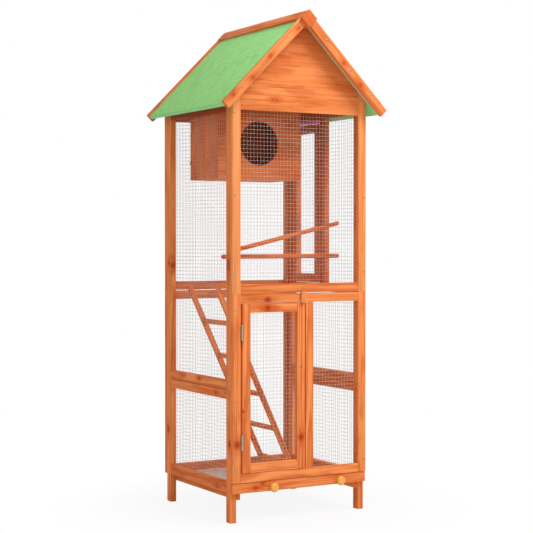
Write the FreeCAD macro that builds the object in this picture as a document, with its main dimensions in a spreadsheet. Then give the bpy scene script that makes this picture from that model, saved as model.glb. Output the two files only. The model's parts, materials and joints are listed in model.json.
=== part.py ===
import FreeCAD, Part
import os
import re
import Sketcher

# Flight cage for small birds: a timber frame with welded mesh, a felted gable roof, a front door,
# a side door, a pull-out tray, two perches, a nest box and a leaning ladder.
# Millimetres, +Z up, the front towards -Y, the origin on the floor under the middle of the part.

lengths = {
    # whole cage
    "cage_width": 520,
    "cage_depth": 506,
    "ridge_height": 1688,
    "ridge_front_overhang": 56,
    "ridge_rear_overhang": 36,
    # frame timber
    "stick_width": 30,
    "front_thickness": 15,
    "side_thickness": 21,
    "back_thickness": 18,
    "front_rail_setback": 1.25,
    "side_rail_setback": 0.75,
    "back_rail_setback": 1.5,
    "seat_gap": 0.3,
    # tray and drawer
    "tray_level": 97.5,
    "tray_wall": 1,
    "tray_lip_height": 7,
    "tray_side_gap": 3,
    "tray_rear_gap": 8,
    "runner_width": 15,
    "runner_height": 22,
    "drawer_front_height": 33,
    "drawer_front_thickness": 12.2,
    "drawer_gap": 1.5,
    "knob_radius": 15.5,
    "knob_length": 22,
    "knob_neck_radius": 9,
    "knob_neck_length": 9,
    "knob_front_round": 6.5,
    "knob_rear_round": 4,
    "knob_rise": 12.5,
    "left_knob_inset": 150,
    "right_knob_inset": 108,
    # front panels
    "front_lower_height": 619.5,
    "front_doorway_width": 249.5,
    "front_hinge_gap": 7,
    "front_latch_gap": 4,
    "front_door_gap": 1.2,
    "front_gable_skirt": 76.7,
    # back panels
    "back_lower_height": 651.5,
    "back_gable_skirt": 80.7,
    # side panels
    "side_lower_height": 436.5,
    "side_sill_height": 35,
    "side_top_gap": 2.7,
    "left_head_height": 46,
    "right_head_height": 36,
    "right_front_bay": 187,
    "right_middle_width": 34,
    "right_low_bay": 277,
    "side_hinge_gap": 4,
    "side_latch_gap": 4,
    "side_door_lower_gap": 2,
    "side_door_upper_gap": 15,
    "strip_height": 14,
    "strip_thickness": 4,
    # welded mesh, every third wire of the real one
    "net_pitch": 38.1,
    "net_bar": 1.6,
    "net_thickness": 1.4,
    "net_overlap": 8,
    # roof
    "roof_half_span": 317,
    "ridge_half_width": 29.7,
    "ridge_front_proud": 12,
    "ridge_rear_proud": 6,
    "barge_width": 30,
    "barge_thickness": 15,
    "felt_drop": 6,
    "felt_thickness": 2.5,
    "roof_board_thickness": 11.5,
    # perches, each end by its distance from the front panel and its height
    "perch_radius": 7.5,
    "lower_perch_left_depth": 95,
    "lower_perch_left_level": 872,
    "lower_perch_right_depth": 128,
    "lower_perch_right_level": 872.5,
    "upper_perch_left_depth": 60,
    "upper_perch_left_level": 888,
    "upper_perch_right_depth": 128,
    "upper_perch_right_level": 987,
    # nest box
    "nest_width": 319,
    "nest_depth": 204,
    "nest_height": 244,
    "nest_board": 12,
    "nest_head_space": 19,
    "nest_front_space": 128,
    "nest_hole_radius": 75,
    "nest_screw_rise": 60,
    # ladder
    "ladder_foot_reach": 319,
    "ladder_front_space": 148,
    "ladder_spacing": 205,
    "stringer_width": 18,
    "stringer_thickness": 10,
    "rung_height": 16,
    "rung_width": 12,
    "rung_pitch": 122.5,
    "rung_start": 55.5,
    # hinges
    "hinge_length": 50.5,
    "hinge_foot_inset": 76,
    "hinge_head_inset": 69,
    "knuckle_radius": 3.2,
    "pin_radius": 1.5,
    "pin_gap": 0.05,
    "pin_tail": 0.8,
    "leaf_thickness": 1.2,
    "leaf_width": 12,
    # turn buttons
    "button_width": 17,
    "button_thickness": 8,
    "button_long_end": 27.5,
    "button_short_end": 11,
    "button_round": 4,
    "button_inset": 12.5,
    "button_rise": 9.25,
    "button_bore_radius": 1.85,
    "button_shank_radius": 1.75,
    # screw heads
    "screw_radius": 3.3,
    "screw_top_radius": 2.2,
    "screw_height": 1.2,
    "screw_inset": 7,
    "washer_radius": 6.5,
    "washer_thickness": 1,
}

angles = {
    "roof_pitch_angle": 45,
}

shares = {
    "gable_joint_share": 0.345,
    "ladder_lean_share": 0.4655,
}

# Counts of what repeats, and the shares of a length at which screws sit.
knuckle_count = 5
rung_count = 5
lower_screw_shares = (0.068, 0.431, 0.917)
upper_screw_shares = (0.105, 0.498, 0.911)
barge_screw_shares = (0.19, 0.52, 0.8)
quarter_turn = 90
x_axis = FreeCAD.Vector(1, 0, 0)
y_axis = FreeCAD.Vector(0, 1, 0)
z_axis = FreeCAD.Vector(0, 0, 1)

# Places worked out from the driving sizes.
places = {
    "cage_left": "-cage_width / 2",
    "cage_right": "cage_width / 2",
    "ridge_front": "-(ridge_front_overhang + cage_depth + ridge_rear_overhang) / 2",
    "ridge_back": "-ridge_front",
    "cage_front": "ridge_front + ridge_front_overhang",
    "cage_back": "cage_front + cage_depth",
    "left_stile": "cage_left + stick_width",
    "right_stile": "cage_right - stick_width",
    "left_inner": "cage_left + side_thickness",
    "right_inner": "cage_right - side_thickness",
    "front_inner": "cage_front + front_thickness",
    "back_inner": "cage_back - back_thickness",
    "front_post": "front_inner + stick_width",
    "rear_post": "back_inner - stick_width",
    # roof lines: the underside of the boards along the slope
    "roof_depth": "felt_drop + felt_thickness + roof_board_thickness",
    "roof_length": "(roof_half_span - ridge_half_width) / cos(roof_pitch_angle)",
    "ridge_shoulder": "ridge_height - ridge_half_width * tan(roof_pitch_angle)",
    "ridge_foot": "ridge_shoulder - ridge_half_width / tan(roof_pitch_angle)",
    "under_peak": "ridge_height - roof_depth / cos(roof_pitch_angle)",
    "eave_at_face": "under_peak - cage_right * tan(roof_pitch_angle)",
    "eave_at_stile": "under_peak - right_stile * tan(roof_pitch_angle)",
    "gable_rise": "under_peak - eave_at_stile",
    "gable_joint": "eave_at_stile + gable_rise * gable_joint_share",
    "gable_top_joint": "eave_at_stile + gable_rise * gable_joint_share * 2",
    "notch_half": "ridge_half_width - roof_depth * sin(roof_pitch_angle)",
    "notch_level": "under_peak - notch_half * tan(roof_pitch_angle)",
    # bargeboards
    "barge_front": "ridge_front + ridge_front_proud",
    "barge_front_inner": "barge_front + barge_thickness",
    "barge_back": "ridge_back - ridge_rear_proud",
    "barge_back_inner": "barge_back - barge_thickness",
    # front levels
    "drawer_top": "tray_level + drawer_front_height",
    "front_bottom": "drawer_top + drawer_gap",
    "front_sill": "front_bottom + stick_width",
    "front_seam": "front_bottom + front_lower_height",
    "front_head_top": "front_seam - front_rail_setback",
    "front_head": "front_head_top - stick_width",
    "front_upper_foot": "front_seam + front_rail_setback",
    "front_upper_sill": "front_upper_foot + stick_width",
    "front_gable_bottom": "eave_at_stile - front_gable_skirt",
    # front door
    "middle_left": "left_stile + front_doorway_width",
    "middle_right": "middle_left + stick_width",
    "door_left": "left_stile + front_hinge_gap",
    "door_right": "middle_left - front_latch_gap",
    "door_bottom": "front_sill + front_door_gap",
    "door_top": "front_head - front_door_gap",
    # back levels
    "back_sill": "tray_level + stick_width",
    "back_seam": "tray_level + back_lower_height",
    "back_head_top": "back_seam - back_rail_setback",
    "back_head": "back_head_top - stick_width",
    "back_upper_foot": "back_seam + back_rail_setback",
    "back_upper_sill": "back_upper_foot + stick_width",
    "back_gable_bottom": "eave_at_stile - back_gable_skirt",
    # side levels
    "side_sill": "tray_level + side_sill_height",
    "side_head_top": "side_lower_height - side_rail_setback",
    "side_head": "side_head_top - stick_width",
    "side_upper_foot": "side_lower_height + side_rail_setback",
    "side_upper_sill": "side_upper_foot + stick_width",
    "side_top": "eave_at_face - side_top_gap",
    "left_head": "side_top - left_head_height",
    "right_head": "side_top - right_head_height",
    # side door
    "bay_end": "front_post + right_front_bay",
    "doorway_start": "bay_end + right_middle_width",
    "door_sill_bottom": "side_upper_sill + right_low_bay",
    "door_sill": "door_sill_bottom + stick_width",
    "side_door_front": "doorway_start + side_latch_gap",
    "side_door_rear": "rear_post - side_hinge_gap",
    "side_door_bottom": "door_sill + side_door_lower_gap",
    "side_door_top": "right_head - side_door_upper_gap",
    # drawer
    "drawer_back": "front_inner - seat_gap",
    "drawer_face": "drawer_back - drawer_front_thickness",
    "tray_left": "left_inner + tray_side_gap",
    "tray_right": "right_inner - tray_side_gap",
    "tray_rear": "back_inner - tray_rear_gap",
    "tray_floor": "tray_level + tray_wall",
    "tray_lip": "tray_floor + tray_lip_height",
    "runner_top": "tray_level - seat_gap",
    # inside faces of the side nets
    "net_left": "left_inner + net_thickness",
    "net_right": "right_inner - net_thickness",
    # nest box
    "nest_left": "net_left + seat_gap",
    "nest_right": "nest_left + nest_width",
    "nest_front": "front_inner + nest_front_space",
    "nest_back": "nest_front + nest_depth",
    "nest_top": "side_top - nest_head_space",
    "nest_level": "nest_top - nest_height",
    "nest_lid": "nest_top - nest_board",
    # ladder
    "ladder_foot": "tray_floor + seat_gap",
    "ladder_foot_place": "left_inner + ladder_foot_reach",
    "lean_root": "sqrt(1 + ladder_lean_share * ladder_lean_share)",
    "stringer_half": "stringer_width / 2 * lean_root",
    "ladder_rest": "net_left + seat_gap",
    "ladder_rise": "(ladder_foot_place - stringer_half - ladder_rest) / ladder_lean_share",
    "ladder_front": "front_inner + ladder_front_space",
    "ladder_rear": "ladder_front + ladder_spacing",
    # hinges and buttons
    "axis_offset": "knuckle_radius + seat_gap",
    "front_axis": "(left_stile + door_left) / 2",
    "side_axis": "(side_door_rear + rear_post) / 2",
    "front_button_side": "middle_left - button_inset",
    "front_button_level": "front_head + button_rise",
    "side_button_depth": "doorway_start - button_inset",
    "side_button_level": "(side_door_bottom + side_door_top) / 2",
}

doc = FreeCAD.newDocument("FlightCage")
sheet = doc.addObject("Spreadsheet::Sheet", "Sizes")
driving = {**lengths, **angles, **shares}
aliases = list(driving) + list(places)
for row, alias in enumerate(aliases, start=1):
    sheet.set(f"A{row}", alias)
    sheet.set(f"B{row}", str(driving[alias]) if alias in driving else "=" + places[alias])
    sheet.setAlias(f"B{row}", alias)
doc.recompute()

nodes = {}


def bind(piece, target, text):
    """Bind one property to a formula written in the sheet's own names."""
    formula = re.sub(r"[a-z]\w*", lambda word: "Sizes." + word[0] if word[0] in aliases else word[0], text)
    piece.setExpression(target, formula)


def number(text):
    """Work a formula out in the sheet's third column and give its value."""
    number.row += 1
    cell = f"C{number.row}"
    sheet.set(cell, "=" + text)
    sheet.recompute()
    return float(sheet.get(cell))


number.row = 0


def place(piece, x, y, z):
    bind(piece, "Placement.Base.x", x)
    bind(piece, "Placement.Base.y", y)
    bind(piece, "Placement.Base.z", z)
    return piece


def node(name, *pieces):
    """One sub-part: a single piece, or several alike gathered in a compound."""
    part = pieces[0]
    if len(pieces) > 1:
        part = doc.addObject("Part::Compound", name)
        part.Links = list(pieces)
    part.Label = name
    nodes[name] = part


def board(name, x, y, z):
    """A straight timber or strip between two places along each axis."""
    piece = doc.addObject("Part::Box", name + "_piece")
    for target, span in (("Length", x), ("Width", y), ("Height", z)):
        bind(piece, target, f"({span[1]}) - ({span[0]})")
    return place(piece, x[0], y[0], z[0])


def rod(name, radius, height, x="0", y="0", z="0", top_radius=None, axis=z_axis, angle=0):
    """A cylinder, or a cone where a top radius is given, turned about an axis at its place."""
    piece = doc.addObject("Part::Cone" if top_radius else "Part::Cylinder", name + "_piece")
    bind(piece, "Radius1" if top_radius else "Radius", radius)
    if top_radius:
        bind(piece, "Radius2", top_radius)
    bind(piece, "Height", height)
    piece.Placement = FreeCAD.Placement(FreeCAD.Vector(), FreeCAD.Rotation(axis, angle))
    return place(piece, x, y, z)


def sketch_on(body, name, plane, offset):
    """A sketch on one of the body's own planes, moved along the plane's normal."""
    sketch = body.newObject("Sketcher::SketchObject", name)
    support = [feature for feature in body.Origin.OriginFeatures if feature.Role == plane]
    sketch.AttachmentSupport = [(support[0], "")]
    sketch.MapMode = "FlatFace"
    bind(sketch, "AttachmentOffset.Base.z", offset)
    return sketch


def fix_point(sketch, edge, end, point):
    """Hold one point of a sketch at its two formulas, measured from the sketch's origin."""
    for kind, text in zip(("DistanceX", "DistanceY"), point):
        index = sketch.addConstraint(Sketcher.Constraint(kind, -1, 1, edge, end, 1))
        bind(sketch, f"Constraints[{index}]", text)


def draw_outline(sketch, points):
    """A closed outline of straight lines through the points."""
    first = sketch.GeometryCount
    count = len(points)
    corner = FreeCAD.Vector(1, 1, 0)
    turn = FreeCAD.Rotation(z_axis, 4 * quarter_turn / count)
    for _ in points:
        following = turn.multVec(corner)
        sketch.addGeometry(Part.LineSegment(corner, following))
        corner = following
    for step, point in enumerate(points):
        after = first + (step + 1) % count
        sketch.addConstraint(Sketcher.Constraint("Coincident", first + step, 2, after, 1))
        fix_point(sketch, first + step, 1, point)


def draw_circle(sketch, centre, radius):
    edge = sketch.addGeometry(Part.Circle(FreeCAD.Vector(), z_axis, 1))
    fix_point(sketch, edge, 3, centre)
    index = sketch.addConstraint(Sketcher.Constraint("Radius", edge, 1))
    bind(sketch, f"Constraints[{index}]", radius)


def pad(body, sketch, span, backwards=False):
    feature = body.newObject("PartDesign::Pad", sketch.Name + "_pad")
    feature.Profile = sketch
    feature.Reversed = backwards
    bind(feature, "Length", f"({span[1]}) - ({span[0]})")
    return feature


def plate(name, plane, points, span, holes=()):
    """A flat piece with any outline: drawn on a plane and given its thickness over a span."""
    body = doc.addObject("PartDesign::Body", name + "_piece")
    backwards = plane == "XZ_Plane"
    sketch = sketch_on(body, name + "_outline", plane, f"-({span[0]})" if backwards else span[0])
    draw_outline(sketch, points)
    for centre, radius in holes:
        draw_circle(sketch, centre, radius)
    pad(body, sketch, span, backwards)
    return body


def round_edges(body, name, radius, wanted):
    """Round the edges of the body's last feature that the given test picks."""
    doc.recompute()
    tip = body.Tip
    edges = [f"Edge{index}" for index, edge in enumerate(tip.Shape.Edges, start=1) if wanted(edge)]
    feature = body.newObject("PartDesign::Fillet", name)
    feature.Base = (tip, edges)
    bind(feature, "Radius", radius)


# Faces of the panels as spans across their thickness.
front_span = ("cage_front", "front_inner")
back_span = ("back_inner", "cage_back")
side_spans = {"left": ("cage_left", "left_inner"), "right": ("right_inner", "cage_right")}
rail_span = ("left_stile", "right_stile")
post_span = ("front_post", "rear_post")
front_post_span = ("front_inner", "front_post")
rear_post_span = ("rear_post", "back_inner")
left_stile_span = ("cage_left", "left_stile")
right_stile_span = ("right_stile", "cage_right")


# Front and back panels: straight stiles and rails below.
def lower_panel(face, span, bottom, seam, rails):
    levels = (bottom, seam)
    left = board(face + "_lower_left_stile", left_stile_span, span, levels)
    right = board(face + "_lower_right_stile", right_stile_span, span, levels)
    node(face + "_lower_stiles", left, right)
    sticks = [board(f"{face}_lower_rail_{count}", rail_span, span, rail) for count, rail in enumerate(rails)]
    node(face + "_lower_rails", *sticks)


lower_panel("front", front_span, "front_bottom", "front_seam",
            (("front_bottom", "front_sill"), ("front_head", "front_head_top")))
lower_panel("back", back_span, "tray_level", "back_seam",
            (("tray_level", "back_sill"), ("back_head", "back_head_top")))
node("front_lower_middle_stile",
     board("front_middle", ("middle_left", "middle_right"), front_span, ("front_sill", "front_head")))


# Front and back panels above the seam: stiles cut to the slope of the roof, a rail, and the gable
# of four boards, whose top one is notched for the ridge batten.
def upper_panel(face, span, seam, foot, sill, gable_bottom):
    stiles = []
    for sign in ("-", ""):
        points = [(sign + "cage_right", seam), (sign + "right_stile", seam),
                  (sign + "right_stile", "eave_at_stile"), (sign + "cage_right", "eave_at_face")]
        side = "left" if sign else "right"
        stiles.append(plate(f"{face}_upper_{side}_stile", "XZ_Plane", points, span))
    node(face + "_upper_stiles", *stiles)
    node(face + "_upper_rail", board(face + "_upper_cross", rail_span, span, (foot, sill)))
    levels = ("eave_at_stile", "gable_joint", "gable_top_joint")
    boards = [board(face + "_gable_skirt", rail_span, span, (gable_bottom, levels[0]))]
    for count, (low, high) in enumerate(zip(levels, levels[1:])):
        wide = f"(under_peak - {low}) / tan(roof_pitch_angle)"
        narrow = f"(under_peak - {high}) / tan(roof_pitch_angle)"
        points = [(f"-{wide}", low), (wide, low), (narrow, high), (f"-{narrow}", high)]
        boards.append(plate(f"{face}_gable_board_{count}", "XZ_Plane", points, span))
    half = "(under_peak - gable_top_joint) / tan(roof_pitch_angle)"
    points = [(f"-{half}", "gable_top_joint"), (half, "gable_top_joint"), ("notch_half", "notch_level"),
              ("0", "ridge_foot"), ("-notch_half", "notch_level")]
    boards.append(plate(face + "_gable_peak", "XZ_Plane", points, span))
    node(face + "_gable", *boards)


upper_panel("front", front_span, "front_seam", "front_upper_foot", "front_upper_sill", "front_gable_bottom")
upper_panel("back", back_span, "back_seam", "back_upper_foot", "back_upper_sill", "back_gable_bottom")


# Side panels: legs that run to the floor, stiles on top of them, and rails between.
def side_panel(side, head, extra_stiles=(), extra_rails=()):
    span = side_spans[side]
    legs = [board(f"{side}_{end}_leg", span, posts, ("0", "side_lower_height"))
            for end, posts in (("front", front_post_span), ("rear", rear_post_span))]
    node(side + "_legs", *legs)
    stiles = [board(f"{side}_{end}_stile", span, posts, ("side_lower_height", "side_top"))
              for end, posts in (("front", front_post_span), ("rear", rear_post_span))]
    node(side + "_upper_stiles", *stiles, *extra_stiles)
    node(side + "_lower_rails",
         board(side + "_sill_rail", span, post_span, ("tray_level", "side_sill")),
         board(side + "_middle_rail", span, post_span, ("side_head", "side_head_top")))
    node(side + "_upper_rails",
         board(side + "_foot_rail", span, post_span, ("side_upper_foot", "side_upper_sill")),
         board(side + "_head_rail", span, post_span, (head, "side_top")), *extra_rails)


side_panel("left", "left_head")
right_span = side_spans["right"]
side_panel("right", "right_head",
           [board("right_middle_stile", right_span, ("bay_end", "doorway_start"),
                  ("door_sill", "right_head"))],
           [board("right_door_sill", right_span, post_span, ("door_sill_bottom", "door_sill"))])
node("side_door_top_strip",
     board("top_strip", ("right_inner", "right_inner + strip_thickness"), ("doorway_start", "rear_post"),
           ("right_head - strip_height", "right_head")))

# Doors: two stiles and two rails each.
front_door = (("door_left", "door_right"), ("door_bottom", "door_top"))
node("front_door_frame",
     board("door_left_stile", ("door_left", "door_left + stick_width"), front_span, front_door[1]),
     board("door_right_stile", ("door_right - stick_width", "door_right"), front_span, front_door[1]),
     board("door_low_rail", ("door_left + stick_width", "door_right - stick_width"), front_span,
           ("door_bottom", "door_bottom + stick_width")),
     board("door_high_rail", ("door_left + stick_width", "door_right - stick_width"), front_span,
           ("door_top - stick_width", "door_top")))
side_door = (("side_door_front", "side_door_rear"), ("side_door_bottom", "side_door_top"))
node("side_door_frame",
     board("side_door_front_stile", right_span, ("side_door_front", "side_door_front + stick_width"),
           side_door[1]),
     board("side_door_rear_stile", right_span, ("side_door_rear - stick_width", "side_door_rear"),
           side_door[1]),
     board("side_door_low_rail", right_span,
           ("side_door_front + stick_width", "side_door_rear - stick_width"),
           ("side_door_bottom", "side_door_bottom + stick_width")),
     board("side_door_high_rail", right_span,
           ("side_door_front + stick_width", "side_door_rear - stick_width"),
           ("side_door_top - stick_width", "side_door_top")))


# Welded mesh on the inner faces: a sheet with square gaps, whose bars run through an anchor point.
def gaps_along(start, end, anchor):
    """The open stretches between the bars, from one edge of the net to the other."""
    pitch = number("net_pitch")
    bar = number("net_bar")
    first = anchor - pitch * ((anchor - start) // pitch)
    bars = [first + pitch * count for count in range(int((end - first) // pitch) + 1)]
    edges = [start + bar / 2] + [level for level in bars if start + 2 * bar < level < end - 2 * bar]
    edges.append(end - bar / 2)
    return [(low + bar / 2, high - bar / 2) for low, high in zip(edges, edges[1:])]


def net(name, across, upright, face, along_depth=False, anchor=None):
    """A net over an opening: its two spans are the opening's, and it overlaps the wood round it."""
    overlap = number("net_overlap")
    left = number(across[0]) - overlap
    right = number(across[1]) + overlap
    bottom = number(upright[0]) - overlap
    top = number(upright[1]) + overlap
    turn = FreeCAD.Rotation(z_axis, quarter_turn if along_depth else 0)

    def rectangle(u_span, v_span):
        corners = [(u_span[0], v_span[0]), (u_span[1], v_span[0]), (u_span[1], v_span[1]),
                   (u_span[0], v_span[1]), (u_span[0], v_span[0])]
        return Part.makePolygon([turn.multVec(FreeCAD.Vector(u - left, 0, v - bottom)) for u, v in corners])

    meeting = [number(text) for text in anchor] if anchor else ((left + right) / 2, (bottom + top) / 2)
    wires = [rectangle((left, right), (bottom, top))]
    for u_span in gaps_along(left, right, meeting[0]):
        for v_span in gaps_along(bottom, top, meeting[1]):
            wires.append(rectangle(u_span, v_span))
    thickness = number("net_thickness")
    direction = x_axis if along_depth else y_axis
    piece = doc.addObject("Part::Feature", name + "_piece")
    piece.Shape = Part.Face(wires, "Part::FaceMakerBullseye").extrude(direction * thickness)
    spot = (number(face), left, bottom) if along_depth else (left, number(face), bottom)
    piece.Placement = FreeCAD.Placement(FreeCAD.Vector(*spot), FreeCAD.Rotation())
    print(name, "gaps", len(wires) - 1)
    return piece


back_net_face = "back_inner - net_thickness"
right_net_face = "right_inner - net_thickness"
node("front_upper_mesh", net("front_upper", rail_span, ("front_upper_sill", "front_gable_bottom"),
                             "front_inner"))
node("front_lower_mesh", net("front_lower", ("middle_right", "right_stile"), ("front_sill", "front_head"),
                             "front_inner"))
node("front_door_mesh", net("front_door", ("door_left + stick_width", "door_right - stick_width"),
                            ("door_bottom + stick_width", "door_top - stick_width"), "front_inner"))
node("back_upper_mesh", net("back_upper", rail_span, ("back_upper_sill", "back_gable_bottom"), back_net_face))
node("back_lower_mesh", net("back_lower", rail_span, ("back_sill", "back_head"), back_net_face))
node("left_upper_mesh", net("left_upper", post_span, ("side_upper_sill", "left_head"), "left_inner", True,
                            ("front_inner + upper_perch_left_depth", "lower_perch_left_level")))
node("left_lower_mesh", net("left_lower", post_span, ("side_sill", "side_head"), "left_inner", True))
node("right_upper_mesh",
     net("right_front", ("front_post", "bay_end"), ("door_sill", "right_head"), right_net_face, True,
         ("front_inner + upper_perch_right_depth", "lower_perch_right_level")),
     net("right_low", post_span, ("side_upper_sill", "door_sill_bottom"), right_net_face, True))
node("right_lower_mesh", net("right_lower", post_span, ("side_sill", "side_head"), right_net_face, True))
node("side_door_mesh", net("side_door", ("side_door_front + stick_width", "side_door_rear - stick_width"),
                           ("side_door_bottom + stick_width", "side_door_top - stick_width"),
                           right_net_face, True))


# Roof pieces: rectangles in the slope's own measures, down the slope from the ridge batten's
# shoulder and square to it from the bargeboards' upper edge.
def slope_piece(name, sign, depths, span):
    corners = (("0", depths[0]), ("roof_length", depths[0]), ("roof_length", depths[1]), ("0", depths[1]))
    points = []
    for down, deep in corners:
        across = (f"{sign}(ridge_half_width + ({down}) * cos(roof_pitch_angle)"
                  f" - ({deep}) * sin(roof_pitch_angle))")
        level = f"ridge_shoulder - ({down}) * sin(roof_pitch_angle) - ({deep}) * cos(roof_pitch_angle)"
        points.append((across, level))
    return plate(name, "XZ_Plane", points, span)


roof_span = ("barge_front_inner", "barge_back_inner")
board_depths = ("felt_drop + felt_thickness", "roof_depth")
felt_depths = ("felt_drop", "felt_drop + felt_thickness")
barge_depths = ("0", "barge_width")
node("left_roof_board", slope_piece("left_board", "-", board_depths, roof_span))
node("right_roof_board", slope_piece("right_board", "", board_depths, roof_span))
node("roof_felt", slope_piece("left_felt", "-", felt_depths, roof_span),
     slope_piece("right_felt", "", felt_depths, roof_span))
barge_spans = {"front": ("barge_front", "barge_front_inner"), "rear": ("barge_back_inner", "barge_back")}
for end, span in barge_spans.items():
    node(end + "_bargeboards", slope_piece(end + "_left_barge", "-", barge_depths, span),
         slope_piece(end + "_right_barge", "", barge_depths, span))
node("ridge_batten",
     plate("ridge", "XZ_Plane",
           [("0", "ridge_height"), ("ridge_half_width", "ridge_shoulder"), ("0", "ridge_foot"),
            ("-ridge_half_width", "ridge_shoulder")],
           ("ridge_front", "ridge_back")))


# Perches: round rods drawn between the two side nets, whose ends lie flat against them.
def perch(name):
    rings = []
    for side, level in (("left", "net_left + seat_gap"), ("right", "net_right - seat_gap")):
        ring = doc.addObject("Part::Circle", f"{name}_{side}_ring")
        bind(ring, "Radius", "perch_radius")
        ring.Placement = FreeCAD.Placement(FreeCAD.Vector(), FreeCAD.Rotation(y_axis, quarter_turn))
        rings.append(place(ring, level, f"front_inner + {name}_{side}_depth", f"{name}_{side}_level"))
    piece = doc.addObject("Part::Loft", name + "_piece")
    piece.Sections = rings
    piece.Solid = True
    piece.Ruled = True
    node(name, piece)


perch("lower_perch")
perch("upper_perch")

# Nest box: boards round a hollow, with a round hole in the middle of the front board.
nest_levels = ("nest_level", "nest_lid")
nest_across = ("nest_left", "nest_right")
nest_inside = ("nest_left + nest_board", "nest_right - nest_board")
nest_between = ("nest_front + nest_board", "nest_back - nest_board")
nest_centre = ("(nest_left + nest_right) / 2", "(nest_level + nest_top) / 2")
nest_corners = [("nest_left", "nest_level"), ("nest_right", "nest_level"), ("nest_right", "nest_lid"),
                ("nest_left", "nest_lid")]
node("nest_box_front",
     plate("nest_front", "XZ_Plane", nest_corners, ("nest_front", "nest_front + nest_board"),
           [(nest_centre, "nest_hole_radius")]))
node("nest_box_sides",
     board("nest_left", ("nest_left", "nest_left + nest_board"), nest_between, nest_levels),
     board("nest_right", ("nest_right - nest_board", "nest_right"), nest_between, nest_levels))
node("nest_box_back", board("nest_back", nest_across, ("nest_back - nest_board", "nest_back"), nest_levels))
node("nest_box_floor",
     board("nest_floor", nest_inside, nest_between, ("nest_level", "nest_level + nest_board")))
node("nest_box_top", board("nest_top", nest_across, ("nest_front", "nest_back"), ("nest_lid", "nest_top")))


# Ladder: two stringers that stand on the tray and lean on the left net, and rungs between them.
def stringer(name, middle):
    foot = "ladder_foot_place"
    points = [(f"{foot} - stringer_half", "ladder_foot"),
              (f"{foot} + stringer_half", "ladder_foot"),
              ("ladder_rest + stringer_width / lean_root",
               "ladder_foot + ladder_rise + stringer_width * ladder_lean_share / lean_root"),
              ("ladder_rest", "ladder_foot + ladder_rise")]
    return plate(name, "XZ_Plane", points, (f"{middle} - stringer_thickness / 2",
                                            f"{middle} + stringer_thickness / 2"))


node("ladder_stringers", stringer("front_stringer", "ladder_front"), stringer("rear_stringer", "ladder_rear"))
rungs = []
for count in range(rung_count):
    rise = f"(rung_start + rung_pitch * {count})"
    across = f"ladder_foot_place - ladder_lean_share * {rise}"
    rungs.append(board(f"rung_{count}", (f"{across} - rung_width / 2", f"{across} + rung_width / 2"),
                       ("ladder_front + stringer_thickness / 2", "ladder_rear - stringer_thickness / 2"),
                       (f"ladder_foot + {rise} - rung_height / 2",
                        f"ladder_foot + {rise} + rung_height / 2")))
node("ladder_rungs", *rungs)

# Tray of thin sheet: a floor and a low lip on three sides, open to the back.
tray = doc.addObject("PartDesign::Body", "tray_piece")
tray_floor = sketch_on(tray, "tray_floor_outline", "XY_Plane", "tray_level")
draw_outline(tray_floor, [("tray_left", "drawer_back"), ("tray_right", "drawer_back"),
                          ("tray_right", "tray_rear"), ("tray_left", "tray_rear")])
pad(tray, tray_floor, ("tray_level", "tray_floor"))
tray_lip = sketch_on(tray, "tray_lip_outline", "XY_Plane", "tray_floor")
draw_outline(tray_lip, [("tray_left", "drawer_back"), ("tray_right", "drawer_back"),
                        ("tray_right", "tray_rear"), ("tray_right - tray_wall", "tray_rear"),
                        ("tray_right - tray_wall", "drawer_back + tray_wall"),
                        ("tray_left + tray_wall", "drawer_back + tray_wall"),
                        ("tray_left + tray_wall", "tray_rear"), ("tray_left", "tray_rear")])
pad(tray, tray_lip, ("tray_floor", "tray_lip"))
node("tray", tray)
node("drawer_front",
     board("drawer", ("cage_left", "cage_right"), ("drawer_face", "drawer_back"),
           ("tray_level", "drawer_top")))
node("tray_runners",
     board("left_runner", ("left_inner", "left_inner + runner_width"), ("front_inner", "back_inner"),
           ("runner_top - runner_height", "runner_top")),
     board("right_runner", ("right_inner - runner_width", "right_inner"), ("front_inner", "back_inner"),
           ("runner_top - runner_height", "runner_top")))


# Knobs: turned profiles about an axis square to the drawer front, with rounded rims.
def knob(name, across):
    body = doc.addObject("PartDesign::Body", name + "_piece")
    sketch = sketch_on(body, name + "_profile", "XY_Plane", "0")
    draw_outline(sketch, [("0", "0"), ("knob_neck_radius", "0"), ("knob_neck_radius", "-knob_neck_length"),
                          ("knob_radius", "-knob_neck_length"), ("knob_radius", "-knob_length"),
                          ("0", "-knob_length")])
    turned = body.newObject("PartDesign::Revolution", name + "_turned")
    turned.Profile = sketch
    turned.ReferenceAxis = (sketch, ["V_Axis"])
    turned.Angle = 4 * quarter_turn
    doc.recompute()
    widest = number("knob_radius")
    rims = {"knob_front_round": number("-knob_length"), "knob_rear_round": number("-knob_neck_length")}
    for radius, level in rims.items():
        def is_rim(edge, level=level):
            circle = getattr(edge.Curve, "Radius", 0)
            return abs(circle - widest) < widest / 100 and abs(edge.CenterOfMass.y - level) < widest / 100
        round_edges(body, f"{name}_{radius}", radius, is_rim)
    return place(body, across, "drawer_face", "tray_level + knob_rise")


node("drawer_knobs", knob("left_knob", "cage_left + left_knob_inset"),
     knob("right_knob", "cage_right - right_knob_inset"))

# Hinges: a leaf on each face of the gap, knuckles in turn along one pin outside the wood.
segment = f"(hinge_length - seat_gap * {knuckle_count - 1}) / {knuckle_count}"


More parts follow.
